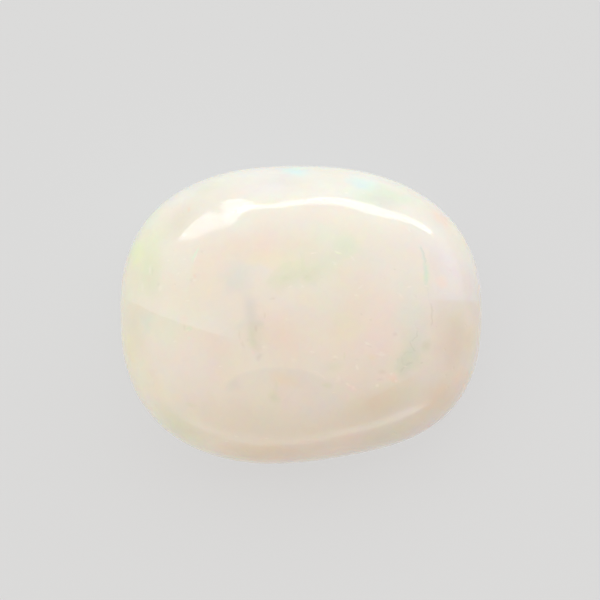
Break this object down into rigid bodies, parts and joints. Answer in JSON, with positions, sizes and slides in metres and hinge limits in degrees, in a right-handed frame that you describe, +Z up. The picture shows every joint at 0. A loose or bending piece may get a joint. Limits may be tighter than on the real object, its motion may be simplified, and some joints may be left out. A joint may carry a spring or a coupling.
{
  "type": "polished opal stone",
  "caption": "Cushion-shaped oval of polished milky opal with a domed top, rounded sides and a flat back to rest on.",
  "frame": {"origin": "centre of the stone's box at the level of its flat back", "axes": "+Z up out of the domed top, +X along the longest way across, +Y towards the far side"},
  "size_m": [0.0198, 0.0164, 0.0083],
  "materials": {
    "milky_opal": "high polish, milky and slightly translucent, with a faint pastel play of colour"
  },
  "bodies": {
    "root": {"opal_stone": "milky_opal"}
  },
  "joints": []
}
